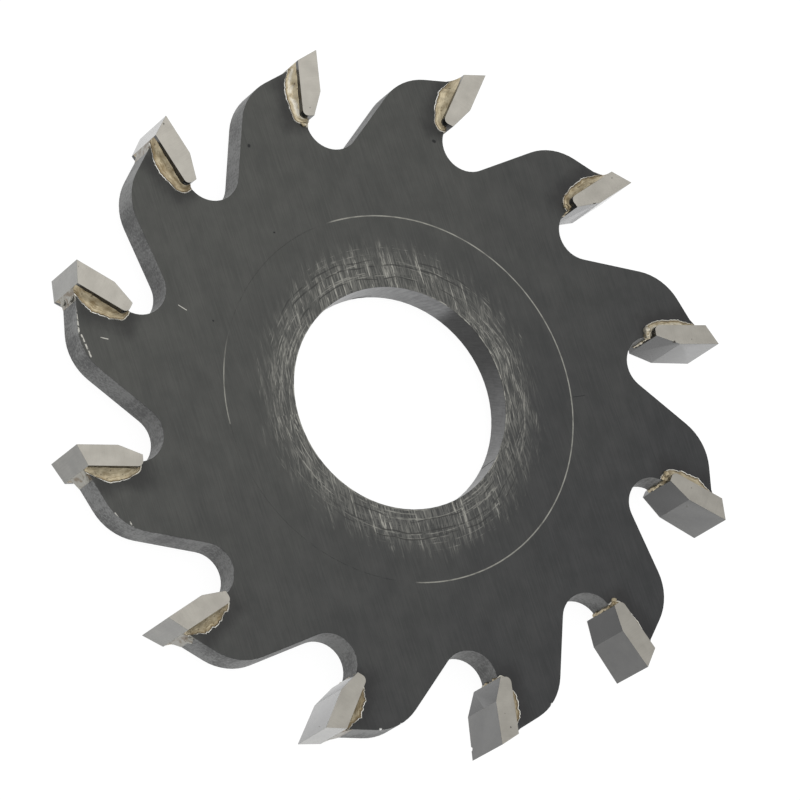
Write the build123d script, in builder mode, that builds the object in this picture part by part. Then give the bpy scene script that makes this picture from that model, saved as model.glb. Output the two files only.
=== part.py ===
from build123d import *
import math
import os

os.makedirs("parts", exist_ok=True)

# A slotting saw blade: a flat steel plate with carbide tips brazed into the seats of its teeth.
# The origin is the bore's centre, halfway through the plate, and the plate lies across Z.
# Lengths are in millimetres and angles in degrees. Seen from +Z the blade cuts clockwise.

# Blade
blade_diameter = 63.0  # across the cutting edges
kerf = 6.0  # width of a cutting edge, and of the slot it cuts
tooth_count = 12

# Plate
plate_thickness = 3.0
bore_diameter = 20.0
land_angle = 18.5  # fall of the land behind the tip, from the tangent
land_step = 0.3  # land below the tip's top, measured down the tip's back
shoulder_radius = 4.9
flank_angle = 19.3  # lean of the tooth's back, from the tooth's own radius
gullet_radius = 2.5
front_wall_height = 0.4  # straight wall between the gullet's arc and the tip's shelf
flange_ring_diameter = 33.0  # fine turned line round the seat of the clamping flanges
flange_ring_depth = 0.06  # of its V, which is twice as wide

# Carbide tip
tip_length = 6.0  # along the rake face
tip_thickness = 1.8  # square to the rake face
rake_length = 3.8  # rake face above the lower facet
foot_width = 1.0  # bottom of the tip, before its heel is rounded
foot_overhang = 0.3  # foot that stands out past the plate's front wall
heel_radius = 0.5
hook_angle = 8.6  # forward lean of the rake face, from the radius
clearance_angle = 19.5  # fall of the tip's top, from the tangent
side_angle_down = 2.2  # narrowing of the tip towards its foot, each side
side_angle_back = 5.5  # narrowing of the tip towards its back, each side

# Silver solder that holds the tip
solder_gap = 0.1  # film between the tip and its seat
solder_height = 0.6  # how far the solder climbs the tip above the plate's face
solder_rim = 0.08  # thickness of the solder at its rim
solder_hollow = 0.2  # pull of the fillet's hollow, from 0 at the corner to 0.5 for a flat fillet
solder_flats = 3  # flats that round the hollow off
solder_reach_top = 0.85  # width on the land, behind the tip
solder_reach_back = 1.05  # width on the plate's face, halfway down the tip
solder_reach_heel = 0.55  # width round the heel and under the foot
solder_steps = 4  # lengths that the fillet is lofted in, down the tip's back


def direction(angle):
    """A unit vector in the plane of the blade, its angle counted anticlockwise from +X."""
    return Vector(math.cos(math.radians(angle)), math.sin(math.radians(angle)))


def crossing(start, heading, other_start, other_heading):
    """The point where two straight lines in the plane of the blade cross."""
    gap = other_start - start
    turn = heading.X * other_heading.Y - heading.Y * other_heading.X
    return start + heading * ((gap.X * other_heading.Y - gap.Y * other_heading.X) / turn)


# One tooth, drawn in its own frame: +Y runs through its cutting edge, and its back is towards -X.
cutting_edge = Vector(0, blade_diameter / 2)
down_rake = direction(-90 - hook_angle)
into_tip = direction(180 - hook_angle)
down_top = direction(180 + clearance_angle)

facet_top = cutting_edge + down_rake * rake_length
heel = cutting_edge + down_rake * tip_length + into_tip * tip_thickness
foot_front = heel - into_tip * foot_width
tip_back_top = crossing(cutting_edge, down_top, heel, down_rake)

# The seat in the plate is the tip's back and foot, moved out by the film of solder.
seat_heel = heel + (into_tip + down_rake) * solder_gap
land_heading = direction(180 + land_angle)
land_at_tip = tip_back_top + down_rake * land_step
land_front = crossing(land_at_tip, land_heading, seat_heel, down_rake)
wall_x = foot_front.X - foot_overhang
shelf_front = crossing(Vector(wall_x, 0), Vector(0, 1), seat_heel, into_tip)
foot_at_wall = crossing(Vector(wall_x, 0), Vector(0, 1), heel, into_tip)
tip_heel_radius = min(heel_radius, 0.9 * (foot_at_wall - heel).length)
seat_heel_radius = tip_heel_radius + solder_gap

# The gullet ahead of the tooth is an arc, and the next tooth's flank runs on from it.
pitch_angle = 360 / tooth_count
gullet_centre = Vector(wall_x + gullet_radius, shelf_front.Y - front_wall_height)
flank_heading = direction(90 - flank_angle)
gullet_behind = gullet_centre.rotate(Axis.Z, pitch_angle)
flank_foot = gullet_behind + direction(-flank_angle) * gullet_radius
shoulder_corner = crossing(flank_foot, flank_heading, land_front, land_heading)

# The shoulder rounds off the corner of flank and land, as far as those two leave it room.
shoulder_turn = 90 - flank_angle - land_angle
shortest_side = min((shoulder_corner - flank_foot).length, (shoulder_corner - land_front).length)
shoulder_cut = min(shoulder_radius * math.tan(math.radians(shoulder_turn / 2)), 0.9 * shortest_side)
land_back = shoulder_corner - land_heading * shoulder_cut
flank_top = shoulder_corner - flank_heading * shoulder_cut

# From the front wall of the gullet behind, round its bottom, up the flank and over the tooth.
gullet_start = gullet_behind + direction(180 + pitch_angle) * gullet_radius
gullet_middle = gullet_behind + direction(270 + (pitch_angle - flank_angle) / 2) * gullet_radius
with BuildLine() as tooth_outline:
    Line(shelf_front.rotate(Axis.Z, pitch_angle), gullet_start)
    ThreePointArc(gullet_start, gullet_middle, flank_foot)
    Line(flank_foot, flank_top)
    TangentArc(flank_top, land_back, tangent=flank_heading)
    Line(land_back, land_front)
    FilletPolyline(land_front, seat_heel, shelf_front, radius=seat_heel_radius)

with BuildPart() as saw_plate:
    with BuildSketch():
        with BuildLine():
            with PolarLocations(0, tooth_count):
                add(tooth_outline.line)
        make_face()
    extrude(amount=plate_thickness / 2, both=True)
    Hole(bore_diameter / 2)
    with BuildSketch(Plane.XZ):
        with Locations(*[(flange_ring_diameter / 2, face * plate_thickness / 2) for face in (1, -1)]):
            RegularPolygon(flange_ring_depth, 4)
    revolve(axis=Axis.Z, mode=Mode.SUBTRACT)
saw_plate.part.label = "saw_plate"
export_step(saw_plate.part, "parts/saw_plate.step")

# The tip's sides lean in towards its foot and its back, so only its cutting edge rubs the slot.
side_lean = down_rake * math.tan(math.radians(side_angle_down))
side_lean += into_tip * math.tan(math.radians(side_angle_back))
with BuildPart() as tip_form:
    with BuildSketch() as tip_profile:
        with BuildLine():
            Polyline(cutting_edge, facet_top, foot_front, heel, tip_back_top, close=True)
        make_face()
        fillet(tip_profile.vertices().sort_by_distance(heel)[0], radius=tip_heel_radius)
    extrude(amount=kerf / 2, both=True)
    for side in (1, -1):
        side_normal = side_lean + Vector(0, 0, side)
        edge_corner = cutting_edge + Vector(0, 0, side * kerf / 2)
        split(bisect_by=Plane(edge_corner, z_dir=side_normal), keep=Keep.BOTTOM)


# The fillet of solder follows the tip's back and goes round its heel to the front wall. Each of
# its sections stands on the tip: where it starts, which way it runs from there, and how far.
def fillet_section(base, heading, reach):
    """The hollow section of the fillet, from the tip's side out to its rim on the plate's face."""
    rim = Vector(reach, solder_rim)
    corner = Vector(reach, solder_height) * solder_hollow
    hollow = Bezier(rim, corner, Vector(0, solder_height))
    flats = [hollow @ (flat / solder_flats) for flat in range(solder_flats + 1)]
    face_level = Vector(0, 0, plate_thickness / 2)
    across = Plane(base + face_level, x_dir=heading, z_dir=heading.cross(Vector(0, 0, 1)))
    with BuildSketch(across) as section:
        with BuildLine():
            Polyline((0, 0), (reach, 0), *flats, close=True)
        make_face()
    return section.sketch


heel_top = heel - down_rake * tip_heel_radius
heel_centre = heel_top - into_tip * tip_heel_radius
heel_bottom = heel_centre + down_rake * tip_heel_radius
land_rim = land_front + land_heading * solder_reach_top
top_edge = land_rim - tip_back_top
back_sections = []
for step in range(solder_steps + 1):
    share = step / solder_steps
    reach = top_edge.length * (1 - share) * (1 - 2 * share)
    reach += solder_reach_back * 4 * share * (1 - share)
    reach += solder_reach_heel * share * (2 * share - 1)
    slant = max(0, 1 - 2 * share)
    heading = (top_edge.normalized() * slant + into_tip * (1 - slant)).normalized()
    base = tip_back_top + (heel_top - tip_back_top) * share
    back_sections.append(fillet_section(base, heading, reach))
foot_section = fillet_section(heel_bottom, down_rake, solder_reach_heel)

with BuildPart() as face_fillet:
    loft(back_sections, ruled=True)
    revolve(back_sections[-1], axis=Axis(heel_centre, (0, 0, 1)), revolution_arc=90)
    extrude(foot_section, amount=foot_width, dir=-into_tip)
    split(bisect_by=Plane((wall_x, 0, 0), z_dir=(1, 0, 0)), keep=Keep.BOTTOM)
    add(tip_form.part, mode=Mode.SUBTRACT)

with BuildPart() as solder_form:
    with BuildSketch():
        with BuildLine():
            Polyline(tip_back_top, land_rim, land_front)
            FilletPolyline(land_front, seat_heel, shelf_front, radius=seat_heel_radius)
            Line(shelf_front, foot_at_wall)
            FilletPolyline(foot_at_wall, heel, tip_back_top, radius=tip_heel_radius)
        make_face()
    extrude(amount=plate_thickness / 2, both=True)
    add(face_fillet.part)
    mirror(face_fillet.part, about=Plane.XY)

for number in range(tooth_count):
    turn = (0, 0, -number * pitch_angle)
    with BuildPart() as tip:
        add(tip_form.part, rotation=turn)
    tip.part.label = f"tip_{number + 1:02d}"
    export_step(tip.part, f"parts/{tip.part.label}.step")
    with BuildPart() as braze:
        add(solder_form.part, rotation=turn)
    braze.part.label = f"braze_{number + 1:02d}"
    export_step(braze.part, f"parts/{braze.part.label}.step")
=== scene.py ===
import math
import random
from collections import Counter

import bpy
import bmesh
from mathutils import Matrix, Vector, noise


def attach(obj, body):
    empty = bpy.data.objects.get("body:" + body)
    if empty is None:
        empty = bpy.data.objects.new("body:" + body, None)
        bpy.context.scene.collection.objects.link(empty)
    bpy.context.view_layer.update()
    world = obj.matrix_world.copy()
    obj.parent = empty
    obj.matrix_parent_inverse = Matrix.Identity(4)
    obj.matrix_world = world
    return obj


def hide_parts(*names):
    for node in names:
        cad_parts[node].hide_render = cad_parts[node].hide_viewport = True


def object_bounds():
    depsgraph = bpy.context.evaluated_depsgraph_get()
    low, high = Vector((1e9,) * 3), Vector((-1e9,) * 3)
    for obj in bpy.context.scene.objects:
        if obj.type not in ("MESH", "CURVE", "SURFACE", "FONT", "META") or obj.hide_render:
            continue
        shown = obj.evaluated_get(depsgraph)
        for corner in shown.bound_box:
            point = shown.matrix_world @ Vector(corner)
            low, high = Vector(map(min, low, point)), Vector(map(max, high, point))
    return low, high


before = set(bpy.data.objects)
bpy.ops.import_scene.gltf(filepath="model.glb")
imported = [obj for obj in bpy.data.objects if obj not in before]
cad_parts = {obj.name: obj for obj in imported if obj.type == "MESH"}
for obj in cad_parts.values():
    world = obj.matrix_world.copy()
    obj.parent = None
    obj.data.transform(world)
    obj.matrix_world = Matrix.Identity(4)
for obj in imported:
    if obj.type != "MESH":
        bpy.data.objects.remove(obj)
cad_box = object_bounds()
bpy.context.scene.view_settings.view_transform = "Standard"
# chips and knocks take their shape from this noise, and with its seed they are the same in every run
noise.seed_set(6)

# Saw plate: one disc of hardened steel, 3 mm thick, cut to its outline by laser and ground flat.
# Its faces are blackened and finely brushed, and its cut walls are left a lighter grey. It is the
# piece that everything else is brazed to.
MM = 0.001
tooth_count = 12
pitch_angle = 2 * math.pi / tooth_count
face_height = 1.5
edge_break = 0.05
bore_radius = 10.0
ring_radius = 16.5
ring_depth = 0.06

# Marks are given by the pixel of the photograph, which is 800 pixels square, that they are seen
# at. It was taken from this place, found from the corners of the twelve tips.
camera_tilt = 30.325
camera_heading = -66.915
camera_roll = 54.815
camera_distance = 0.4564
camera_aim = Vector((0.000653, 0.00013, 0))
camera_lens = 237.75
sensor_width = 36.0
photo_width = 800
camera_turn = Matrix.Rotation(math.radians(camera_heading), 4, "Z")
camera_turn = camera_turn @ Matrix.Rotation(math.radians(camera_tilt), 4, "X")
camera_turn = camera_turn @ Matrix.Rotation(math.radians(camera_roll), 4, "Z")
camera_stand_off = Matrix.Translation((0, 0, camera_distance))
camera_place = Matrix.Translation(camera_aim) @ camera_turn @ camera_stand_off


def line_of_sight(pixel):
    """The camera's place, and the way that it looks through a pixel of the photograph."""
    across, down = pixel
    middle = photo_width / 2
    focal_pixels = camera_lens / sensor_width * photo_width
    sight = camera_place.to_3x3() @ Vector((across - middle, middle - down, -focal_pixels))
    return camera_place.translation / MM, sight


def seen_on(pixel, on_face, outward, number=1):
    """Where a pixel falls on a flat face of a tooth, in the frame of that tooth."""
    to_tooth = Matrix.Rotation((number - 1) * pitch_angle, 3, "Z")
    eye, sight = (to_tooth @ each for each in line_of_sight(pixel))
    return eye + sight * (on_face - eye).dot(outward) / sight.dot(outward)


def seen_in_bore(pixel):
    """Where a pixel falls on the wall of the bore: the run round it, and the height on it."""
    eye, sight = line_of_sight(pixel)
    square = sight.xy.dot(sight.xy)
    toward = eye.xy.dot(sight.xy)
    beyond = eye.xy.dot(eye.xy) - bore_radius**2
    place = eye + sight * (math.sqrt(toward**2 - square * beyond) - toward) / square
    return math.atan2(place.y, place.x) * bore_radius, place.z


def select_only(*objects):
    """Nothing but these objects is selected, and the first of them is active."""
    bpy.ops.object.select_all(action="DESELECT")
    for each in objects:
        each.select_set(True)
    bpy.context.view_layer.objects.active = objects[0]


def merged_copy(node, name):
    """A copy of a solid of the frame, with its triangles joined up again into flat faces."""
    piece = bpy.data.objects.new(name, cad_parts[node].data.copy())
    bpy.context.scene.collection.objects.link(piece)
    piece.data.materials.clear()
    select_only(piece)
    bpy.ops.object.mode_set(mode="EDIT")
    bpy.ops.mesh.select_all(action="SELECT")
    bpy.ops.mesh.remove_doubles(threshold=0.002 * MM)
    bpy.ops.mesh.dissolve_limited(angle_limit=math.radians(0.4))
    bpy.ops.mesh.normals_make_consistent(inside=False)
    bpy.ops.object.mode_set(mode="OBJECT")
    return piece


def apply_modifier(piece, kind, **settings):
    """Adds a modifier to the piece, sets it and applies it."""
    modifier = piece.modifiers.new(kind.lower(), kind)
    for name, value in settings.items():
        setattr(modifier, name, value)
    select_only(piece)
    bpy.ops.object.modifier_apply(modifier=modifier.name)


def break_edges(piece, width, sharper_than):
    """Rounds every edge of the piece that turns by more than the given angle."""
    turn = math.radians(sharper_than)
    apply_modifier(piece, "BEVEL", width=width * MM, segments=2, limit_method="ANGLE", angle_limit=turn)


def smooth(piece, angle):
    """Shades the piece smooth, apart from sharp edges and the rims of its chips."""
    select_only(piece)
    bpy.ops.object.shade_smooth_by_angle(angle=math.radians(angle))
    broken = len(piece.data.materials) - 1
    broken_faces_at = Counter()
    for face in piece.data.polygons:
        if face.material_index == broken:
            broken_faces_at.update(face.edge_keys)
    for edge in piece.data.edges:
        edge.use_edge_sharp = edge.use_edge_sharp or broken_faces_at[edge.key] == 1
    apply_modifier(piece, "WEIGHTED_NORMAL", keep_sharp=True)


def in_tooth(place, number):
    """A place in the frame of one tooth, moved to where that tooth is on the blade."""
    return Matrix.Rotation(-(number - 1) * pitch_angle, 3, "Z") @ Vector(place) * MM


def chip(piece, number, place, size, shallow=0.0):
    """Knocks a small hollow into the piece, and marks the faces of the hollow as a new material."""
    middle = in_tooth(place, number)
    middle += piece.closest_point_on_mesh(middle)[2] * shallow * size * MM
    bpy.ops.object.select_all(action="DESELECT")
    bpy.ops.mesh.primitive_ico_sphere_add(subdivisions=2, radius=size * MM, location=middle)
    cutter = bpy.context.object
    bpy.ops.object.transform_apply(location=True)
    for corner in cutter.data.vertices:
        corner.co += noise.noise_vector(corner.co / (0.15 * MM)) * 0.3 * size * MM
    cutter.data.materials.append(None)
    apply_modifier(piece, "BOOLEAN", object=cutter, operation="DIFFERENCE", solver="EXACT")
    bpy.data.objects.remove(cutter)
    for face in piece.data.polygons:
        corners = [piece.data.vertices[index].co for index in face.vertices]
        if max((corner - middle).length for corner in corners) < 1.4 * size * MM:
            face.material_index = len(piece.data.materials) - 1


def add_node(tree, kind, inputs, **settings):
    """A shader node, its sockets fed from other sockets or set to plain values."""
    node = tree.nodes.new("ShaderNode" + kind)
    for name, value in settings.items():
        setattr(node, name, value)
    for socket, value in inputs.items():
        if isinstance(value, bpy.types.NodeSocket):
            tree.links.new(value, node.inputs[socket])
        else:
            node.inputs[socket].default_value = value
    return node


def calc(tree, operation, *values):
    """One step of arithmetic."""
    return add_node(tree, "Math", dict(enumerate(values)), operation=operation).outputs[0]


def step_up(tree, value, low, high, top=1.0):
    """0 below the low value, the top value above the high one; or the other way, if low is more."""
    inputs = {"Value": value, "From Min": low, "From Max": high, "To Max": top}
    return add_node(tree, "MapRange", inputs, interpolation_type="SMOOTHSTEP").outputs["Result"]


def blend(tree, share, first, second):
    """A colour between two colours."""
    node = add_node(tree, "Mix", {}, data_type="RGBA")
    for socket, value in ((0, share), (6, first), (7, second)):
        if isinstance(value, bpy.types.NodeSocket):
            tree.links.new(value, node.inputs[socket])
        else:
            node.inputs[socket].default_value = value
    return node.outputs[2]


def grain(tree, place, across, along, turn=0.0, detail=3.0, roughness=0.6):
    """Noise with a grain of this size in millimetres, across its run and along it."""
    inputs = {"Vector": place, "Rotation": (0, 0, turn), "Scale": (across, along, across)}
    mapped = add_node(tree, "Mapping", inputs, vector_type="TEXTURE").outputs[0]
    inputs = {"Vector": mapped, "Scale": 1.0, "Detail": detail, "Roughness": roughness}
    return add_node(tree, "TexNoise", inputs).outputs["Fac"]


def mark(tree, flat, start, end, width):
    """1 on a straight mark on the plate's face, and 0 away from it."""
    run = Vector(end) - Vector(start)
    offset = add_node(tree, "VectorMath", {0: flat, 1: (*start, 0)}, operation="SUBTRACT").outputs[0]
    run_unit = (*run.normalized(), 0)
    share = add_node(tree, "VectorMath", {0: offset, 1: run_unit}, operation="DOT_PRODUCT").outputs["Value"]
    inputs = {"Value": share, "From Max": run.length, "To Max": run.length}
    share = add_node(tree, "MapRange", inputs).outputs["Result"]
    nearest = add_node(tree, "VectorMath", {0: run_unit, "Scale": share}, operation="SCALE").outputs[0]
    away = add_node(tree, "VectorMath", {0: offset, 1: nearest}, operation="DISTANCE").outputs["Value"]
    return step_up(tree, away, 0.5 * width, 0.2 * width)


def new_finish(name, metallic, roughness):
    """A material with its tree, its surface shader, and the place on the object in millimetres."""
    material = bpy.data.materials.new(name)
    material.use_nodes = True
    tree = material.node_tree
    surface = tree.nodes["Principled BSDF"]
    surface.inputs["Metallic"].default_value = metallic
    surface.inputs["Roughness"].default_value = roughness
    coordinates = tree.nodes.new("ShaderNodeTexCoord").outputs["Object"]
    place = add_node(tree, "VectorMath", {0: coordinates, "Scale": 1 / MM}, operation="SCALE").outputs[0]
    return material, tree, surface, place


def set_bump(tree, surface, height, depth):
    """Bump from a height of 0 to 1, with its depth in millimetres."""
    inputs = {"Height": height, "Distance": depth * MM, "Strength": 1.0}
    tree.links.new(add_node(tree, "Bump", inputs).outputs[0], surface.inputs["Normal"])


def blackened_face():
    """The plate's two faces: dark, brushed along Y, scuffed where the flanges have clamped it."""
    material, tree, surface, place = new_finish("blackened_face", 0.0, 0.42)
    axes = add_node(tree, "SeparateXYZ", {0: place}).outputs
    flat = add_node(tree, "CombineXYZ", {0: axes[0], 1: axes[1]}).outputs[0]
    radius = add_node(tree, "VectorMath", {0: flat}, operation="LENGTH").outputs["Value"]
    angle = calc(tree, "ARCTAN2", axes[1], axes[0])
    polar = add_node(tree, "CombineXYZ", {0: radius, 1: calc(tree, "MULTIPLY", angle, 12.5)}).outputs[0]

    surface.inputs["Specular IOR Level"].default_value = 0.3

    # painted light and shade: the face's colour is made a little lighter at the upper left and darker and
    # bluish at the lower right, for how the light falls across it, with large random patches in it
    painted_light_and_tone = calc(tree, "MULTIPLY_ADD", axes[1], -0.75, calc(tree, "MULTIPLY", axes[0], 0.65))
    painted_light_and_tone = calc(tree, "ADD", painted_light_and_tone, -15.0)
    painted_light_and_tone = calc(tree, "MULTIPLY_ADD", grain(tree, flat, 9.0, 12.0, detail=3), 30.0, painted_light_and_tone)
    mottle = grain(tree, flat, 2.0, 2.5, detail=5)
    brushing = grain(tree, flat, 0.13, 4.0, turn=0.06, detail=4)
    shade = calc(tree, "MULTIPLY", calc(tree, "ADD", brushing, mottle), 0.5)
    painted_shade_share = step_up(tree, painted_light_and_tone, -30.0, 34.0)
    dark = blend(tree, painted_shade_share, (0.061, 0.062, 0.056, 1), (0.027, 0.028, 0.0285, 1))
    light = blend(tree, painted_shade_share, (0.087, 0.087, 0.079, 1), (0.045, 0.045, 0.0455, 1))
    colour = blend(tree, step_up(tree, shade, 0.32, 0.7), dark, light)

    # the face is darker round each joint: heat tint from the brazing, and painted shade where the fillet
    # stands on the face
    from_top = calc(tree, "ARCTAN2", axes[0], axes[1])
    in_pitch = calc(tree, "WRAP", from_top, pitch_angle / 2, -pitch_angle / 2)
    across = calc(tree, "MULTIPLY", radius, calc(tree, "SINE", in_pitch))
    along = calc(tree, "MULTIPLY", radius, calc(tree, "COSINE", in_pitch))
    across = calc(tree, "ABSOLUTE", calc(tree, "SUBTRACT", across, joint_middle[0]))
    across = calc(tree, "MAXIMUM", calc(tree, "SUBTRACT", across, joint_half_size[0]), 0.0)
    along = calc(tree, "ABSOLUTE", calc(tree, "SUBTRACT", along, joint_middle[1]))
    along = calc(tree, "MAXIMUM", calc(tree, "SUBTRACT", along, joint_half_size[1]), 0.0)
    along = calc(tree, "MULTIPLY", along, along)
    from_joint = calc(tree, "SQRT", calc(tree, "MULTIPLY_ADD", across, across, along))
    from_joint = calc(tree, "MULTIPLY_ADD", mottle, 1.6, from_joint)
    burnt_and_shade = step_up(tree, from_joint, 2.4, 0.7, 0.6)
    colour = blend(tree, burnt_and_shade, colour, (0.016, 0.015, 0.015, 1))

    # scratches where the blade is clamped: thin lines along Y and thin rounds about the bore, which
    # cross each other at small angles beside it; each family has its share beside it and above it
    upright = calc(tree, "ABSOLUTE", calc(tree, "SINE", angle))
    edge_on = calc(tree, "ABSOLUTE", calc(tree, "COSINE", angle))
    above_and_below = step_up(tree, upright, 0.3, 0.8)
    strokes = step_up(tree, grain(tree, flat, 0.15, 2.6, turn=0.02, detail=2), 0.55, 0.65, 0.4)
    strokes = calc(tree, "MULTIPLY", strokes, above_and_below)
    scratch_families = (
        (flat, 0.22, 8.0, 0.03, 0.92, 0.4, 1.0),
        (flat, 0.14, 5.0, -0.12, 0.65, 1.0, 0.35),
        (polar, 0.15, 9.0, 0.0, 0.8, 1.0, 0.8),
        (polar, 0.13, 6.0, 0.1, 0.75, 1.0, 0.3),
        (polar, 0.12, 5.0, -0.11, 0.7, 1.0, 0.1),
    )
    for run_of, apart, along, turn, top, beside, above in scratch_families:
        line = step_up(tree, grain(tree, run_of, apart, along, turn, 0), 0.61, 0.7, top)
        gaps = step_up(tree, grain(tree, run_of, 0.14, 0.9, turn, 2), 0.38, 0.56)
        where = calc(tree, "MULTIPLY_ADD", above_and_below, above - beside, beside)
        line = calc(tree, "MULTIPLY", calc(tree, "MULTIPLY", line, gaps), where)
        strokes = calc(tree, "MAXIMUM", strokes, line)
    dull = step_up(tree, grain(tree, flat, 0.14, 1.6, turn=0.04, detail=2), 0.4, 0.65, 0.28)
    strokes = calc(tree, "MAXIMUM", strokes, dull)
    ragged = calc(tree, "MULTIPLY_ADD", grain(tree, flat, 0.4, 3.0, detail=2), 5.0, -2.5)
    reach = calc(tree, "MULTIPLY_ADD", edge_on, 1.1, calc(tree, "ADD", radius, ragged))
    worn = step_up(tree, reach, 14.7, 11.9)
    patchy = step_up(tree, grain(tree, flat, 0.9, 1.6, detail=3), 0.3, 0.6)
    worn = calc(tree, "MULTIPLY", worn, calc(tree, "MULTIPLY_ADD", patchy, 0.5, 0.5))
    strokes = calc(tree, "MULTIPLY", strokes, worn)

    # painted highlight: the fine turned line round the flanges' seat is painted bright along the right and
    # part of the left, where its step catches the light
    line = step_up(tree, calc(tree, "ABSOLUTE", calc(tree, "SUBTRACT", radius, ring_radius)), 0.075, 0.03)
    highlight_right = step_up(tree, calc(tree, "ABSOLUTE", calc(tree, "ADD", angle, 0.02)), 1.76, 1.7)
    highlight_left = step_up(tree, calc(tree, "ABSOLUTE", calc(tree, "SUBTRACT", angle, 2.95)), 0.34, 0.1, 0.9)
    faint = step_up(tree, grain(tree, polar, 0.5, 1.0, detail=3), 0.3, 0.62)
    line = calc(tree, "MULTIPLY", line, calc(tree, "MAXIMUM", highlight_right, highlight_left))
    line = calc(tree, "MULTIPLY", line, calc(tree, "MULTIPLY_ADD", faint, 0.5, 0.4))
    bright = calc(tree, "MAXIMUM", strokes, line)

    # the edge of the bore has been rubbed bright
    edge = step_up(tree, radius, bore_radius + 0.14, bore_radius + 0.05)
    edge = calc(tree, "MULTIPLY", edge, step_up(tree, grain(tree, polar, 0.6, 1.2), 0.4, 0.6))
    bright = calc(tree, "MAXIMUM", bright, calc(tree, "MULTIPLY", edge, step_up(tree, edge_on, 0.3, 0.7)))

    colour = blend(tree, bright, colour, (0.4, 0.39, 0.345, 1))
    broken = step_up(tree, grain(tree, flat, 0.2, 0.3, detail=3), 0.4, 0.52)
    for start, end, width in scuffs:
        scuff = calc(tree, "MULTIPLY", mark(tree, flat, start, end, width), broken)
        colour = blend(tree, scuff, colour, (0.62, 0.6, 0.54, 1))

    # darker rounds that a washer has rubbed into the scratches, wandering and broken
    for middle, width in ((12.0, 0.1), (12.55, 0.08), (10.9, 0.07)):
        wobble = calc(tree, "MULTIPLY_ADD", grain(tree, flat, 7.0, 7.0, detail=2), 1.8, radius)
        away = calc(tree, "ABSOLUTE", calc(tree, "SUBTRACT", wobble, middle + 0.9))
        broken = step_up(tree, grain(tree, polar, 1.5, 2.5, detail=3), 0.42, 0.52, 0.8)
        broken = calc(tree, "MULTIPLY", broken, step_up(tree, upright, 0.55, 0.8))
        rubbed = calc(tree, "MULTIPLY", step_up(tree, away, width, 0.3 * width), broken)
        colour = blend(tree, rubbed, colour, (0.03, 0.03, 0.028, 1))
    for start, end, width in dark_nicks:
        colour = blend(tree, mark(tree, flat, start, end, width), colour, (0.012, 0.012, 0.012, 1))
    tree.links.new(colour, surface.inputs["Base Color"])
    set_bump(tree, surface, calc(tree, "SUBTRACT", brushing, calc(tree, "MULTIPLY", bright, 0.8)), 0.004)
    return material


def cut_wall():
    """The walls of the outline: laser cut, lighter than the faces, grainy, with darker stretches."""
    material, tree, surface, place = new_finish("cut_wall", 0.0, 0.45)
    inputs = {"Vector": place, "Scale": (0.3, 0.3, 3.0)}
    streaks = add_node(tree, "Mapping", inputs, vector_type="TEXTURE").outputs[0]
    streaks = add_node(tree, "TexNoise", {"Vector": streaks, "Scale": 1.0, "Detail": 3}).outputs["Fac"]
    stretches = add_node(tree, "TexNoise", {"Vector": place, "Scale": 0.28, "Detail": 2}).outputs["Fac"]
    grains = add_node(tree, "TexNoise", {"Vector": place, "Scale": 4.5, "Detail": 4}).outputs["Fac"]
    shade = calc(tree, "MULTIPLY_ADD", streaks, 0.3, calc(tree, "MULTIPLY", stretches, 0.7))
    shade = calc(tree, "MULTIPLY_ADD", calc(tree, "SUBTRACT", grains, 0.5), 0.6, shade)
    shade = step_up(tree, shade, 0.34, 0.66)
    colour = blend(tree, shade, (0.038, 0.039, 0.0375, 1), (0.188, 0.189, 0.184, 1))
    tree.links.new(colour, surface.inputs["Base Color"])
    set_bump(tree, surface, grains, 0.03)
    return material


def ground_bore():
    """The wall of the bore: ground across its thickness, with painted light on one side and painted shade
    on another.
    """
    material, tree, surface, place = new_finish("ground_bore", 0.0, 0.32)
    axes = add_node(tree, "SeparateXYZ", {0: place}).outputs
    angle = calc(tree, "ARCTAN2", axes[1], axes[0])
    round_wall = calc(tree, "MULTIPLY", angle, bore_radius)
    wall = add_node(tree, "CombineXYZ", {0: round_wall, 1: axes[2]}).outputs[0]
    lines = grain(tree, wall, 0.13, 2.5, turn=0.35, detail=3)
    dirt = grain(tree, wall, 1.0, 1.3, detail=6, roughness=0.75)
    shade = calc(tree, "MULTIPLY_ADD", lines, 0.5, calc(tree, "MULTIPLY", dirt, 0.5))
    shade = step_up(tree, shade, 0.38, 0.62)
    # painted light and shade: the wall is coloured lighter on one side and darker on the other, and given a
    # higher sheen on the light side, for how the light falls into the bore
    painted_lightest = calc(tree, "MULTIPLY", step_up(tree, angle, 0.7, 0.86), step_up(tree, angle, 2.9, 2.2))
    painted_light_side = step_up(tree, angle, 0.3, -0.25, 0.4)
    painted_light_side = calc(tree, "MAXIMUM", painted_light_side, step_up(tree, angle, 2.2, 2.9, 0.4))
    painted_light_side = calc(tree, "MAXIMUM", painted_lightest, painted_light_side)
    dark = blend(tree, painted_light_side, (0.004, 0.004, 0.004, 1), (0.14, 0.14, 0.142, 1))
    light = blend(tree, painted_light_side, (0.024, 0.024, 0.023, 1), (0.27, 0.27, 0.27, 1))
    colour = blend(tree, shade, dark, light)
    sheen = calc(tree, "MULTIPLY_ADD", painted_light_side, 0.22, 0.28)
    for start, end, width in bore_nicks:
        nick = mark(tree, wall, start, end, width)
        colour = blend(tree, nick, colour, (0.008, 0.008, 0.007, 1))
        sheen = calc(tree, "MULTIPLY", sheen, calc(tree, "SUBTRACT", 1.0, nick))
    tree.links.new(sheen, surface.inputs["Specular IOR Level"])
    tree.links.new(colour, surface.inputs["Base Color"])
    set_bump(tree, surface, lines, 0.006)
    return material


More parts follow.
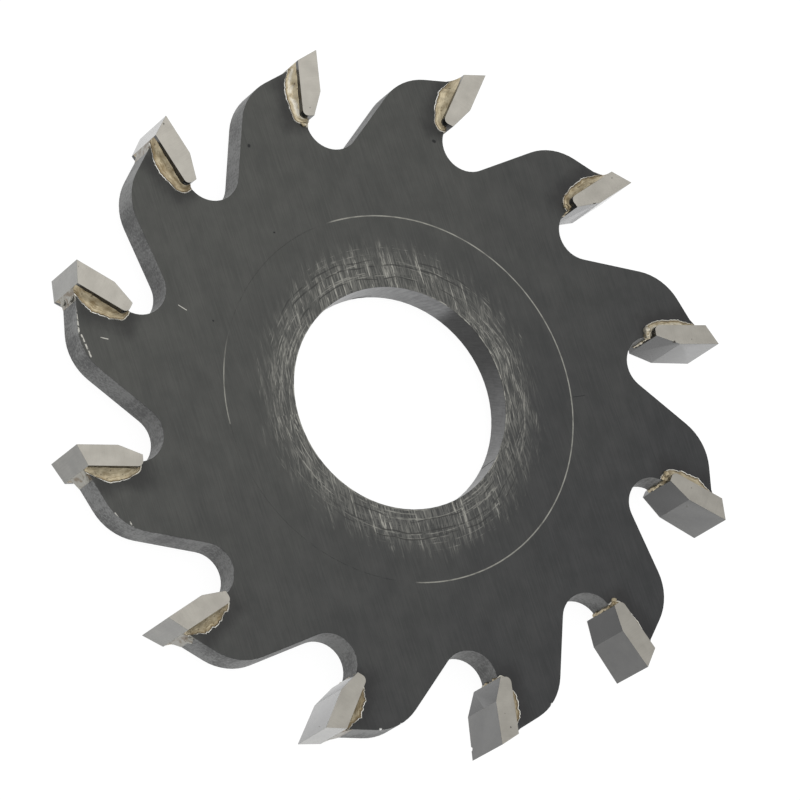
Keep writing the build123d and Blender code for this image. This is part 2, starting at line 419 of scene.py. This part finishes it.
def bare_steel():
    """Fresh steel, where the edge of the plate has been knocked."""
    material, tree, surface, place = new_finish("bare_steel", 1.0, 0.3)
    patches = add_node(tree, "TexNoise", {"Vector": place, "Scale": 6.0, "Detail": 2}).outputs["Fac"]
    colour = blend(tree, patches, (0.6, 0.6, 0.58, 1), (0.85, 0.85, 0.82, 1))
    tree.links.new(colour, surface.inputs["Base Color"])
    return material


def marks_on_face(*picks):
    """Marks on the plate's face, from the pixels of their ends and their widths in millimetres."""
    face_point = Vector((0, 0, face_height))
    upward = Vector((0, 0, 1))
    return [(*(seen_on(end, face_point, upward).xy for end in ends), width) for *ends, width in picks]


joint_middle = (-2.7, 27.4)
joint_half_size = (0.7, 1.9)
scuffs = marks_on_face(
    ((75.5, 308), (79, 332.5), 0.24),
    ((81.5, 335), (91, 356.5), 0.2),
    ((115, 513), (118, 517), 0.16),
    ((130, 522), (133.5, 527), 0.16),
    ((177.5, 304.5), (186.5, 310), 0.1),
    ((101, 337.5), (108, 339), 0.12),
)
dark_nicks = marks_on_face(
    ((573, 397), (584.5, 395.5), 0.08),
    ((249, 146), (249, 145.5), 0.4),
    ((274, 232.5), (274.5, 232.5), 0.22),
    ((213.5, 321), (213, 320.5), 0.2),
    ((433.5, 141), (434.5, 141.5), 0.4),
)
bore_nicks = [(seen_in_bore(start), seen_in_bore(end), width) for start, end, width in (
    ((480.5, 469.5), (494.5, 459.5), 0.13),
    ((364.5, 297), (353, 298.5), 0.3),
    ((371, 296), (365.5, 296), 0.16),
)]
# three knocks in the edge of the plate: the tooth, the place in its frame, and the size
edge_knocks = ((8, (-5.3, 29.35, 1.55), 0.16), (8, (-7.0, 28.2, 1.55), 0.12), (7, (-6.5, 28.75, 1.5), 0.2))

saw_plate = merged_copy("saw_plate", "blackened_saw_plate")
for corner in saw_plate.data.vertices:
    if abs(corner.co.xy.length / MM - ring_radius) < 0.02:
        angle = math.degrees(math.atan2(corner.co.y, corner.co.x))
        worn_away = 98 < angle < 152 or -170 < angle < -101
        corner.co.z *= face_height / (face_height - ring_depth) if worn_away else 1
break_edges(saw_plate, edge_break, 50)
saw_plate.data.materials.append(blackened_face())
saw_plate.data.materials.append(cut_wall())
saw_plate.data.materials.append(ground_bore())
saw_plate.data.materials.append(bare_steel())
for face in saw_plate.data.polygons:
    from_centre = face.center.xy.length / MM
    on_ring = abs(from_centre - ring_radius) < 0.2
    in_bore = from_centre < bore_radius + edge_break
    face.material_index = 0 if abs(face.normal.z) > 0.9 or on_ring else 2 if in_bore else 1
for number, place, size in edge_knocks:
    chip(saw_plate, number, place, size)
smooth(saw_plate, 35)
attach(saw_plate, "root")
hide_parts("saw_plate")

# Carbide tips: twelve blocks of sintered tungsten carbide, each ground on its rake face, its top
# and its sides after it has been brazed into its seat. The facet below the rake keeps the duller
# skin that it came out of the sintering furnace with.
kerf = 6.0
tip_length = 6.0
tip_thickness = 1.8
rake_length = 3.8
foot_width = 1.0
side_angle_down = math.radians(2.2)
side_angle_back = math.radians(5.5)
hook_angle = math.radians(8.6)
clearance_angle = math.radians(19.5)
down_rake = Vector((-math.sin(hook_angle), -math.cos(hook_angle), 0))
into_tip = Vector((-math.cos(hook_angle), math.sin(hook_angle), 0))
cutting_edge = Vector((0, 31.5, 0))
facet_top = cutting_edge + down_rake * rake_length
heel = cutting_edge + down_rake * tip_length + into_tip * tip_thickness
foot_front = heel - into_tip * foot_width
# a point on each of three faces of the first tip, and the way that the face looks
upward = Vector((0, 0, 1))
side_lean = down_rake * math.tan(side_angle_down) + into_tip * math.tan(side_angle_back)
flat_faces = {
    "side": (cutting_edge + upward * kerf / 2, (side_lean + upward).normalized()),
    "rake": (cutting_edge, -into_tip),
    "facet": (facet_top, upward.cross(foot_front - facet_top).normalized()),
}
# pits and chips: the tooth, the face, the pixel of the photograph, and the size
pit_lift = 0.03
tip_pits = (
    (1, "side", (310.3, 107.7), 0.1),
    (3, "side", (595, 205), 0.22),
    (3, "side", (612, 178), 0.12),
    (4, "facet", (673.9, 342.2), 0.17),
    (4, "side", (691.7, 339.4), 0.11),
    (4, "rake", (687.1, 348.3), 0.1),
    (4, "rake", (700.6, 346.9), 0.1),
    (5, "side", (691.7, 487.8), 0.12),
    (5, "rake", (686.7, 506.1), 0.14),
    (5, "rake", (666.1, 513.6), 0.12),
    (7, "side", (510.6, 727.2), 0.13),
    (7, "side", (505, 713.3), 0.1),
    (7, "rake", (484.4, 708.3), 0.1),
    (7, "rake", (471.5, 749), 0.2),
    (8, "rake", (319.4, 726.7), 0.12),
    (11, "side", (78.5, 266.2), 0.1),
    (12, "side", (163.7, 123.7), 0.13),
)


def carbide(name, metallic, roughness, dark, light, film=0.0, gloss=1.5):
    """Grey carbide, cloudy, with fine lines along the stone's path; some faces have a clear film."""
    material, tree, surface, place = new_finish(name, metallic, roughness)
    surface.inputs["IOR"].default_value = gloss
    surface.inputs["Coat Weight"].default_value = film
    surface.inputs["Coat Roughness"].default_value = 0.16
    surface.inputs["Coat IOR"].default_value = 1.55
    lay = add_node(tree, "UVMap", {}, uv_map="grinding").outputs[0]
    lines = grain(tree, lay, 0.05, 2.0, detail=3)
    clouds = add_node(tree, "TexNoise", {"Vector": place, "Scale": 0.7, "Detail": 4}).outputs["Fac"]
    specks = add_node(tree, "TexNoise", {"Vector": place, "Scale": 9.0, "Detail": 2}).outputs["Fac"]
    shade = calc(tree, "MULTIPLY_ADD", lines, 0.35, calc(tree, "MULTIPLY", clouds, 0.65))
    colour = blend(tree, step_up(tree, shade, 0.3, 0.7), dark, light)
    speck_colour = (*[part * 0.5 for part in dark[:3]], 1)
    colour = blend(tree, step_up(tree, specks, 0.66, 0.74, 0.25), colour, speck_colour)
    tree.links.new(colour, surface.inputs["Base Color"])
    set_bump(tree, surface, calc(tree, "MULTIPLY_ADD", lines, 0.6, specks), 0.003)
    return material


def broken_carbide():
    """The dark, rough bottom of a pit or chip in the carbide."""
    material, tree, surface, place = new_finish("broken_carbide", 0.6, 0.6)
    grains = add_node(tree, "TexNoise", {"Vector": place, "Scale": 12.0, "Detail": 2}).outputs["Fac"]
    colour = blend(tree, grains, (0.13, 0.12, 0.11, 1), (0.27, 0.26, 0.23, 1))
    tree.links.new(colour, surface.inputs["Base Color"])
    return material


# painted shade: the rake and the top are ground like the sides, but are given much darker colours than them
# for how the light falls on these faces, and the clear film gives back their gloss at a slant; the skin is
# duller in itself, and its near-black colour also holds painted shade
finishes = (
    carbide("ground_side", 1.0, 0.34, (0.355, 0.336, 0.298, 1), (0.43, 0.408, 0.362, 1)),
    carbide("ground_rake_painted_shade", 0.0, 0.28, (0.02, 0.0195, 0.016, 1), (0.052, 0.0505, 0.043, 1), 1.0, 1.3),
    carbide("ground_top_painted_shade", 1.0, 0.34, (0.12, 0.117, 0.103, 1), (0.175, 0.17, 0.15, 1), 1.0),
    carbide("sintered_skin_painted_shade", 0.0, 0.4, (0.006, 0.0062, 0.0058, 1), (0.02, 0.0205, 0.0195, 1), 1.0, 1.12),
    broken_carbide(),
)
# which way each face looks on the first tooth, and its finish
faces_of_tip = (
    ((0, 0, 1), 0),
    ((0, 0, -1), 0),
    (-into_tip, 1),
    ((-math.sin(clearance_angle), math.cos(clearance_angle), 0), 2),
    ((0.88, -0.48, 0), 3),
    (down_rake, 3),
    (into_tip, 3),
)
for number in range(1, tooth_count + 1):
    tip = merged_copy(f"tip_{number:02d}", f"ground_tip_{number:02d}")
    break_edges(tip, 0.025, 20)
    for finish in finishes:
        tip.data.materials.append(finish)
    from_tooth = Matrix.Rotation(-(number - 1) * pitch_angle, 3, "Z")
    to_tooth = from_tooth.inverted()
    for face in tip.data.polygons:
        looks = to_tooth @ face.normal
        face.material_index = max(faces_of_tip, key=lambda each: looks.dot(Vector(each[0])))[1]
    for pit_number, name, pixel, size in tip_pits:
        if pit_number == number:
            face_point, outward = flat_faces[name]
            place = seen_on(pixel, face_point, outward, number) + outward * pit_lift
            chip(tip, number, place, size, 0.0 if size > 0.16 else 0.55)
    lay = tip.data.uv_layers.new(name="grinding").data
    for face in tip.data.polygons:
        stone_path = (to_tooth @ face.normal).cross(into_tip if abs(face.normal.z) < 0.5 else down_rake)
        for loop in face.loop_indices:
            corner = to_tooth @ tip.data.vertices[tip.data.loops[loop].vertex_index].co / MM
            across = stone_path.cross(to_tooth @ face.normal)
            lay[loop].uv = (corner.dot(across) + 7 * number, corner.dot(stone_path))
    smooth(tip, 30)
    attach(tip, "root")
    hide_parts(f"tip_{number:02d}")

# Silver solder: a thin film that holds each tip in its seat, and runs out on both faces of the
# plate into a hollow fillet with a crinkled rim. It is tanned by the flux and by the heat, and has
# squeezed out in a lumpy bead under each tip's foot, and in drops at some heels and tops.
heel_radius = 0.5
foot_overhang = 0.3
land_angle = math.radians(18.5)
land_step = 0.3
land_reach = 0.85
land_heading = Vector((-math.cos(land_angle), -math.sin(land_angle), 0))
back_length = tip_length - tip_thickness * math.tan(clearance_angle + hook_angle)
back_top = heel - down_rake * back_length
wall_x = foot_front.x - foot_overhang
back_run = back_length - heel_radius
bend_run = heel_radius * math.pi / 2
foot_run = foot_width - foot_overhang - heel_radius + 0.02
land_rim = back_top + down_rake * land_step + land_heading * land_reach
# each joint: the fillet's width at its top, halfway down, at the heel and under the foot, how ragged
# its rim is, the bead's thickness, the width left on the land, and how pale the solder is, which is partly
# its own tone and partly painted light for how each fillet faces the light
joints = (
    (0.7, 1.05, 0.6, 0.45, 0.8, 0.17, 0.6, 0.75),
    (0.75, 1.2, 0.62, 0.3, 0.8, 0.17, 0.6, 0.6),
    (0.4, 0.95, 0.6, 0.4, 0.8, 0.17, 0.5, 0.45),
    (0.45, 0.85, 0.65, 0.5, 0.8, 0.12, 0.5, 0.72),
    (0.4, 1.12, 0.75, 0.5, 1.2, 0.19, 0.5, 0.64),
    (0.4, 0.72, 0.5, 0.35, 0.8, 0.21, 0.5, 0.5),
    (0.4, 1.0, 0.45, 0.25, 1.6, 0.14, 0.5, 0.5),
    (0.45, 1.1, 0.4, 0.2, 1.8, 0.17, 0.35, 0.3),
    (0.5, 1.1, 0.5, 0.15, 1.7, 0.185, 0.5, 0.5),
    (0.4, 1.15, 0.5, 0.13, 0.6, 0.17, 0.45, 0.6),
    (0.6, 1.1, 0.6, 0.3, 1.0, 0.17, 0.5, 0.35),
    (0.4, 1.05, 0.7, 0.45, 0.8, 0.17, 0.3, 0.3),
)
# where the points of a fillet's section stand, from the tip out to the rim, closer towards the rim
section_shares = (0, 0.05, 0.12, 0.2, 0.29, 0.38, 0.47, 0.56, 0.64)
section_shares += (0.71, 0.77, 0.82, 0.86, 0.9, 0.93, 0.96, 0.985, 1)
fillet_start = 0.015
station_count = 96
bead_station_count = 40
bead_spokes = 14


def joint_station(run):
    """The place on the tip's back, heel or foot at this run down the joint, and the way out of it."""
    if run < back_run:
        slant = max(0, 1 - run / (0.5 * back_run))
        top_heading = (land_heading * land_reach + down_rake * land_step).normalized()
        return back_top + down_rake * run, (top_heading * slant + into_tip * (1 - slant)).normalized()
    bend_centre = heel - (down_rake + into_tip) * heel_radius
    if run < back_run + bend_run:
        turn = (run - back_run) / heel_radius
        heading = into_tip * math.cos(turn) + down_rake * math.sin(turn)
        return bend_centre + heading * heel_radius, heading
    share = (run - back_run - bend_run) / foot_run
    return bend_centre + down_rake * heel_radius - into_tip * foot_run * share, down_rake


def waves(dice, *lengths_and_heights):
    """A wandering line: a sum of waves of the given lengths and heights, started at random."""
    starts = [dice.uniform(0, 2 * math.pi) for _ in lengths_and_heights]

    def height(run):
        pairs = zip(starts, lengths_and_heights)
        return sum(high * math.sin(start + 2 * math.pi * run / long) for start, (long, high) in pairs)

    return height


def rolled_sheet(rows, name, from_rim, run):
    """A closed piece from rows of points, each row a loop, mapped by distance from the rim and run."""
    bpy.ops.object.select_all(action="DESELECT")
    bpy.ops.mesh.primitive_grid_add(x_subdivisions=len(rows[0]), y_subdivisions=len(rows) - 1)
    sheet = bpy.context.object
    sheet.name = name
    loops = [point for row in rows for point in (*row, row[0])]
    for corner, point in zip(sheet.data.vertices, loops):
        corner.co = point
    joint_map = sheet.data.uv_layers[0]
    joint_map.name = "joint"
    for loop in sheet.data.loops:
        row, column = divmod(loop.vertex_index, len(rows[0]) + 1)
        joint_map.data[loop.index].uv = (from_rim[row][column % len(rows[0])], run * row / (len(rows) - 1))
    bpy.ops.object.mode_set(mode="EDIT")
    bpy.ops.mesh.select_all(action="SELECT")
    bpy.ops.mesh.remove_doubles(threshold=0.0005 * MM)
    bpy.ops.mesh.select_all(action="SELECT")
    bpy.ops.mesh.fill_holes(sides=0)
    bpy.ops.mesh.select_all(action="SELECT")
    bpy.ops.mesh.normals_make_consistent(inside=False)
    bpy.ops.object.mode_set(mode="OBJECT")
    shell = bmesh.new()
    shell.from_mesh(sheet.data)
    if shell.calc_volume(signed=True) < 0:
        bmesh.ops.reverse_faces(shell, faces=shell.faces)
        shell.to_mesh(sheet.data)
    shell.free()
    return sheet


def solder_fillet(number, side, widths, ragged, dice):
    """The fillet on one face of the plate: hollow, dented, with a raised and crinkled rim."""
    rim_line = waves(dice, (1.7, 0.035), (0.8, 0.025), (0.43, 0.018), (0.19, 0.006))
    top_line = waves(dice, (2.1, 0.04), (0.9, 0.02))
    lip_line = waves(dice, (0.9, 0.012), (0.31, 0.008))
    top_width, middle_width, heel_width, foot_width_left = widths
    whole_run = back_run + bend_run + foot_run
    rows = []
    from_rim = []
    for station in range(station_count + 1):
        run = fillet_start + (whole_run - fillet_start) * station / station_count
        base, heading = joint_station(run)
        share = min(1, run / back_run)
        width = top_width * (1 - share) * (1 - 2 * share) + middle_width * 4 * share * (1 - share)
        width += heel_width * share * (2 * share - 1)
        width += (foot_width_left - heel_width) * max(0, run - back_run) / (bend_run + foot_run)
        width += rim_line(run) * ragged * min(1, width / 0.4)
        climb = 0.86 - 0.5 * share + top_line(run)
        row = [base - heading * 0.02 + Vector((0, 0, face_height - 0.02))]
        row.append(base - heading * 0.02 + Vector((0, 0, face_height + climb)))
        for across in section_shares:
            height = 0.06 + (climb - 0.06) * (1 - across) ** 2.6
            height += (0.06 + lip_line(run)) * math.exp(-((across - 0.945) / 0.04) ** 2)
            height -= 0.02 * math.exp(-((across - 0.86) / 0.05) ** 2)
            point = base + heading * width * across
            dent = noise.noise(Vector((point.x * 2.4, point.y * 2.4, number * 5.0 + side)))
            fine_dent = noise.noise(Vector((point.x * 7, point.y * 7, number * 5.0 + side)))
            height += (0.03 * dent + 0.01 * fine_dent) * math.sin(math.pi * across)
            height = max(height, 0.015) if across < 1 else -0.02
            row.append(point + Vector((0, 0, face_height + height)))
        turned = [in_tooth((point.x, point.y, side * point.z), number) for point in row]
        rows.append(turned)
        from_rim.append([width, width, *[width * (1 - across) for across in section_shares]])
    return rolled_sheet(rows, "fillet", from_rim, whole_run)


def foot_bead(number, thickness, dice):
    """The lumpy bead squeezed out under the tip's foot, along the plate's front wall."""
    middle = Vector((wall_x + 0.06, foot_front.y, 0))
    thick = waves(dice, (1.9, 0.035), (0.8, 0.03), (0.37, 0.014))
    drift = waves(dice, (1.6, 0.05), (0.7, 0.03))
    rows = []
    for station in range(bead_station_count + 1):
        height = face_height * (1 - 2 * station / bead_station_count) * 0.98
        row = []
        for spoke in range(bead_spokes):
            turn = 2 * math.pi * spoke / bead_spokes
            reach = thickness + thick(height) * (1 + 0.3 * math.sin(turn + height))
            outward = Vector((math.cos(turn), math.sin(turn), 0)) * reach
            row.append(in_tooth(middle + outward + Vector((0, drift(height), height)), number))
        rows.append(row)
    return rolled_sheet(rows, "bead", [[0.5] * bead_spokes] * len(rows), 2 * face_height)


def solder_lump(number, place, size):
    """A drop of solder that has run out and set."""
    bpy.ops.object.select_all(action="DESELECT")
    bpy.ops.mesh.primitive_ico_sphere_add(subdivisions=3, radius=1)
    lump = bpy.context.object
    lump.data.uv_layers[0].name = "joint"
    for loop in lump.data.uv_layers[0].data:
        loop.uv = (0.5, 0.0)
    for corner in lump.data.vertices:
        swell = 1 + 0.35 * noise.noise(corner.co * 1.6 + Vector((number * 3.0, 0, place[2])))
        local = Vector([part * stretch for part, stretch in zip(corner.co * swell, size)])
        corner.co = in_tooth(Vector(place) + local, number)
    return lump


def joined(piece, others):
    """The piece with the others melted into it."""
    for other in others:
        apply_modifier(piece, "BOOLEAN", object=other, operation="UNION", solver="EXACT")
        bpy.data.objects.remove(other)
    bpy.ops.object.mode_set(mode="EDIT")
    bpy.ops.mesh.select_all(action="SELECT")
    bpy.ops.mesh.remove_doubles(threshold=0.001 * MM)
    bpy.ops.mesh.dissolve_degenerate(threshold=0.001 * MM)
    bpy.ops.mesh.delete_loose()
    bpy.ops.object.mode_set(mode="OBJECT")


def tanned_solder():
    """Silver solder: tanned and stained in its hollow, with painted shade in the crease inside its bright
    rim.
    """
    material, tree, surface, place = new_finish("tanned_solder", 0.7, 0.36)
    run_map = add_node(tree, "UVMap", {}, uv_map="joint").outputs[0]
    from_rim = add_node(tree, "SeparateXYZ", {0: run_map}).outputs[0]
    pale_and_lit = add_node(tree, "Attribute", {}, attribute_name="pale_and_lit").outputs["Fac"]
    smear = add_node(tree, "Attribute", {}, attribute_name="smear").outputs["Fac"]
    patches = add_node(tree, "TexNoise", {"Vector": place, "Scale": 1.6, "Detail": 5}).outputs["Fac"]
    streaks = grain(tree, run_map, 0.16, 1.6, detail=3)
    stains = add_node(tree, "TexNoise", {"Vector": place, "Scale": 3.2, "Detail": 3}).outputs["Fac"]
    shade = calc(tree, "MULTIPLY_ADD", streaks, 0.5, calc(tree, "MULTIPLY", patches, 0.5))
    # the paleness lifts the tan: partly the solder's own tone, partly painted light
    shade = calc(tree, "MULTIPLY_ADD", pale_and_lit, 0.25, shade)
    shade = calc(tree, "ADD", shade, step_up(tree, from_rim, 0.14, 0.45, 0.08))
    colour = blend(tree, step_up(tree, shade, 0.5, 0.86), (0.23, 0.172, 0.092, 1), (0.6, 0.52, 0.36, 1))
    colour = blend(tree, step_up(tree, stains, 0.6, 0.7, 0.8), colour, (0.11, 0.075, 0.042, 1))

    # a paler streak runs down the middle of the palest fillets: cleaner solder, and a painted highlight
    # along the hollow
    clean_and_highlight = calc(tree, "SUBTRACT", calc(tree, "MULTIPLY_ADD", streaks, 0.6, from_rim), 0.82)
    clean_and_highlight = step_up(tree, calc(tree, "ABSOLUTE", clean_and_highlight), 0.24, 0.03, 0.75)
    clean_and_highlight = calc(tree, "MULTIPLY", clean_and_highlight, step_up(tree, pale_and_lit, 0.66, 0.74))
    clean_and_highlight = calc(tree, "MULTIPLY", clean_and_highlight, step_up(tree, patches, 0.38, 0.55))
    colour = blend(tree, clean_and_highlight, colour, (0.8, 0.76, 0.66, 1))

    # what has run out on the land is glassy flux, pale grey with brown in it
    flux = blend(tree, step_up(tree, patches, 0.45, 0.62), (0.33, 0.32, 0.285, 1), (0.19, 0.155, 0.115, 1))
    colour = blend(tree, smear, colour, flux)

    # its rim: painted shade in the crease inside it, and outside it a thin bright lip with gaps
    edge = calc(tree, "MULTIPLY_ADD", stains, 0.05, calc(tree, "SUBTRACT", from_rim, 0.025))
    painted_crease_shade = step_up(tree, calc(tree, "ABSOLUTE", calc(tree, "SUBTRACT", edge, 0.14)), 0.05, 0.02, 0.85)
    painted_crease_shade = calc(tree, "MULTIPLY", painted_crease_shade, step_up(tree, streaks, 0.35, 0.5))
    gaps = step_up(tree, grain(tree, place, 0.5, 0.5, detail=2), 0.28, 0.4)
    lip = calc(tree, "MULTIPLY", step_up(tree, edge, 0.1, 0.07), gaps)
    colour = blend(tree, painted_crease_shade, colour, (0.085, 0.06, 0.037, 1))
    colour = blend(tree, lip, colour, (0.97, 0.95, 0.88, 1))
    tree.links.new(colour, surface.inputs["Base Color"])
    set_bump(tree, surface, calc(tree, "ADD", stains, streaks), 0.006)
    return material


solder_lumps = (
    (1, (-2.3, 25.35, 1.62), (0.32, 0.2, 0.14)),
    (1, (-2.05, 25.3, 1.35), (0.2, 0.3, 0.3)),
    (3, (-2.3, 25.5, 1.6), (0.3, 0.2, 0.18)),
    (4, (-2.5, 25.5, 1.68), (0.36, 0.3, 0.4)),
    (4, (-2.02, 25.42, 1.66), (0.34, 0.32, 0.4)),
    (5, (-2.6, 25.66, 1.62), (0.36, 0.3, 0.3)),
    (6, (-2.6, 25.5, 1.55), (0.3, 0.22, 0.2)),
    (9, (-2.65, 30.38, 0.9), (0.42, 0.2, 0.5)),
    (10, (-2.6, 30.42, 0.8), (0.4, 0.18, 0.55)),
    (11, (-2.4, 30.55, -1.0), (0.32, 0.12, 0.4)),
    (11, (-2.5, 30.48, 0.6), (0.36, 0.1, 0.6)),
)
solder = tanned_solder()
for number, (*widths, ragged, bead, left_on_land, paleness_and_light) in enumerate(joints, 1):
    dice = random.Random(100 + number)
    braze = merged_copy(f"braze_{number:02d}", f"solder_{number:02d}")
    to_tooth = Matrix.Rotation((number - 1) * pitch_angle, 3, "Z")
    for corner in braze.data.vertices:
        if ((to_tooth @ corner.co / MM).xy - land_rim.xy).length < 0.03:
            corner.co -= to_tooth.inverted() @ land_heading * (land_reach - left_on_land) * MM
    for side in (1, -1):
        bpy.ops.object.mode_set(mode="EDIT")
        bpy.ops.mesh.select_all(action="SELECT")
        cut = (0, 0, side * (face_height - 0.01) * MM)
        thinnest = 0.0001 * MM
        bpy.ops.mesh.bisect(
            plane_co=cut, plane_no=(0, 0, side), threshold=thinnest, use_fill=True, clear_outer=True
        )
        bpy.ops.object.mode_set(mode="OBJECT")
    for loop in braze.data.uv_layers.new(name="joint").data:
        loop.uv = (0.5, 0.0)
    poured = [solder_fillet(number, side, widths, ragged, dice) for side in (1, -1)]
    poured.append(foot_bead(number, bead, dice))
    poured += [solder_lump(number, place, size) for tooth, place, size in solder_lumps if tooth == number]
    joined(braze, poured)

    pale_and_lit = braze.data.attributes.new("pale_and_lit", "FLOAT", "POINT").data
    smear = braze.data.attributes.new("smear", "FLOAT", "POINT").data
    for index, corner in enumerate(braze.data.vertices):
        pale_and_lit[index].value = paleness_and_light
        from_top = to_tooth @ corner.co / MM - back_top
        on_land = from_top.dot(into_tip) > -0.05 and from_top.dot(down_rake) < 0.75
        smear[index].value = 1.0 if on_land and abs(from_top.z) < face_height + 0.02 else 0.0
    smooth(braze, 50)
    braze.data.materials.append(solder)
    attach(braze, "root")
    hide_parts(f"braze_{number:02d}")

# Floor: a plain white sheet that the blade lies on, resting on its tips. It is lit like the blade,
# so that it takes the blade's shadow, and lifted to white for the camera.
floor_size = 4.0
floor_height = cad_box[0].z
bpy.ops.object.select_all(action="DESELECT")
bpy.ops.mesh.primitive_plane_add(size=floor_size, location=(0, 0, floor_height))
bpy.ops.object.transform_apply(location=True)
floor = bpy.context.object
floor.name = "floor"
sheet = bpy.data.materials.new("white_sheet")
sheet.use_nodes = True
tree = sheet.node_tree
surface = tree.nodes["Principled BSDF"]
surface.inputs["Base Color"].default_value = (0.8, 0.8, 0.8, 1)
surface.inputs["Roughness"].default_value = 0.9
surface.inputs["Specular IOR Level"].default_value = 0.0
rays = add_node(tree, "LightPath", {}).outputs
glow = add_node(tree, "Emission", {"Color": (1, 1, 1, 1), "Strength": 1.12}).outputs[0]
share = calc(tree, "MULTIPLY", rays["Is Camera Ray"], 0.85)
share = calc(tree, "MULTIPLY_ADD", rays["Is Glossy Ray"], 0.85, share)
mixed = add_node(tree, "MixShader", {0: share, 1: surface.outputs[0], 2: glow}).outputs[0]
tree.links.new(mixed, tree.nodes["Material Output"].inputs["Surface"])
floor.data.materials.append(sheet)

# Light: a plain studio with one large soft box overhead, a little behind the blade.
world = bpy.data.worlds.new("studio")
world.use_nodes = True
tree = world.node_tree
ambient = tree.nodes["Background"]
ambient.inputs["Color"].default_value = (0.98, 0.99, 1.0, 1)
ambient.inputs["Strength"].default_value = 0.6
white = add_node(tree, "Background", {"Color": (1, 1, 1, 1), "Strength": 1.0}).outputs[0]
seen = add_node(tree, "LightPath", {}).outputs["Is Camera Ray"]
mixed = add_node(tree, "MixShader", {0: seen, 1: ambient.outputs[0], 2: white}).outputs[0]
tree.links.new(mixed, tree.nodes["World Output"].inputs["Surface"])
bpy.context.scene.world = world

soft_box = bpy.data.lights.new("soft_box", "AREA")
soft_box.size = 1.2
soft_box.energy = 3.2
soft_box_object = bpy.data.objects.new("soft_box", soft_box)
soft_box_object.location = (-0.05, 0.06, 0.8)
aim = soft_box_object.location.to_track_quat("Z", "Y")
soft_box_object.rotation_euler = aim.to_euler()
bpy.context.scene.collection.objects.link(soft_box_object)

# Camera: it stands where the photograph was taken from, with the lens found for it above.
camera = bpy.data.cameras.new("camera")
camera.lens = camera_lens
camera.sensor_width = sensor_width
camera_object = bpy.data.objects.new("camera", camera)
bpy.context.scene.collection.objects.link(camera_object)
camera_object.matrix_world = camera_place
bpy.context.scene.camera = camera_object
